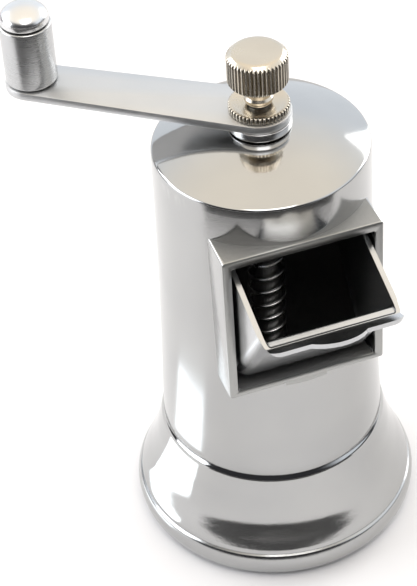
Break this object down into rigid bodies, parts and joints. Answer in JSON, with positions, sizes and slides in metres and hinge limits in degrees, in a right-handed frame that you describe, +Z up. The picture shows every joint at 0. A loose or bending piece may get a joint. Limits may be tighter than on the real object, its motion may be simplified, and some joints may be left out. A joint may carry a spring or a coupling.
{
  "type": "hand-cranked pepper mill",
  "caption": "Cast pepper and salt mill with a bell-shaped foot, domed top, tilting filling chute, crank with an upright knob, and a threaded adjusting nut over a sprung shaft and conical burrs.",
  "frame": {"origin": "the middle of the bounding box's base, on the plane the foot stands on", "axes": "+Z up along the mill's axis, which stands at X = +6.0 mm and Y = +5.1 mm; the filling chute faces -Y; the crank arm points to -X and +Y"},
  "size_m": [0.0698, 0.0716, 0.1142],
  "materials": {
    "cast_aluminium": "polished",
    "satin_aluminium": "satin, turned",
    "bright_steel": "polished",
    "steel": "plain machined",
    "nickel_plate": "nickel plated, satin",
    "spring_wire": "drawn wire"
  },
  "bodies": {
    "body": {"mill_body": "cast_aluminium", "shaft_bush": "bright_steel", "spring_washer_top": "steel", "bearing_bridge": "steel", "burr_ring": "steel", "ring_screw_1": "steel", "ring_screw_2": "steel", "ring_screw_3": "steel"},
    "chute": {"chute_tray": "cast_aluminium", "chute_pin_left": "steel", "chute_pin_right": "steel"},
    "crank": {"crank_arm": "cast_aluminium", "knob_pin": "bright_steel"},
    "knob": {"knob_sleeve": "satin_aluminium"},
    "low_nut": {"adjusting_nut": "nickel_plate"},
    "top_nut": {"thumb_nut": "nickel_plate"},
    "shaft": {"drive_shaft": "steel", "spring": "spring_wire", "spring_washer_bottom": "steel", "spring_cross_pin": "steel", "burr_rotor": "steel", "rotor_washer": "steel", "rotor_nut": "steel"}
  },
  "joints": [
    {"name": "chute_tilt", "type": "hinge", "parent": "body", "child": "chute", "pos_m": [0.00596, -0.01295, 0.0545], "axis": [1, 0, 0], "range_deg": [-35, 0]},
    {"name": "crank_turn", "type": "hinge", "parent": "body", "child": "crank", "pos_m": [0.00596, 0.00505, 0.0969], "axis": [0, 0, 1], "continuous": true},
    {"name": "knob_spin", "type": "hinge", "parent": "crank", "child": "knob", "pos_m": [-0.02981, 0.03067, 0.1043], "axis": [0, 0, 1], "continuous": true},
    {"name": "nut_turn", "type": "hinge", "parent": "crank", "child": "low_nut", "pos_m": [0.00596, 0.00505, 0.0987], "axis": [0, 0, 1], "range_deg": [-180, 540]},
    {"name": "thumb_nut_turn", "type": "hinge", "parent": "low_nut", "child": "top_nut", "pos_m": [0.00596, 0.00505, 0.107], "axis": [0, 0, 1], "range_deg": [0, 360]},
    {"name": "shaft_lift", "type": "slide", "parent": "crank", "child": "shaft", "axis": [0, 0, 1], "range_m": [-0.00105, 0.00035], "deforming": ["spring"]}
  ],
  "couplings": [
    {"joint": "nut_turn", "follows": "shaft_lift", "rad_per_m": -8976}
  ]
}
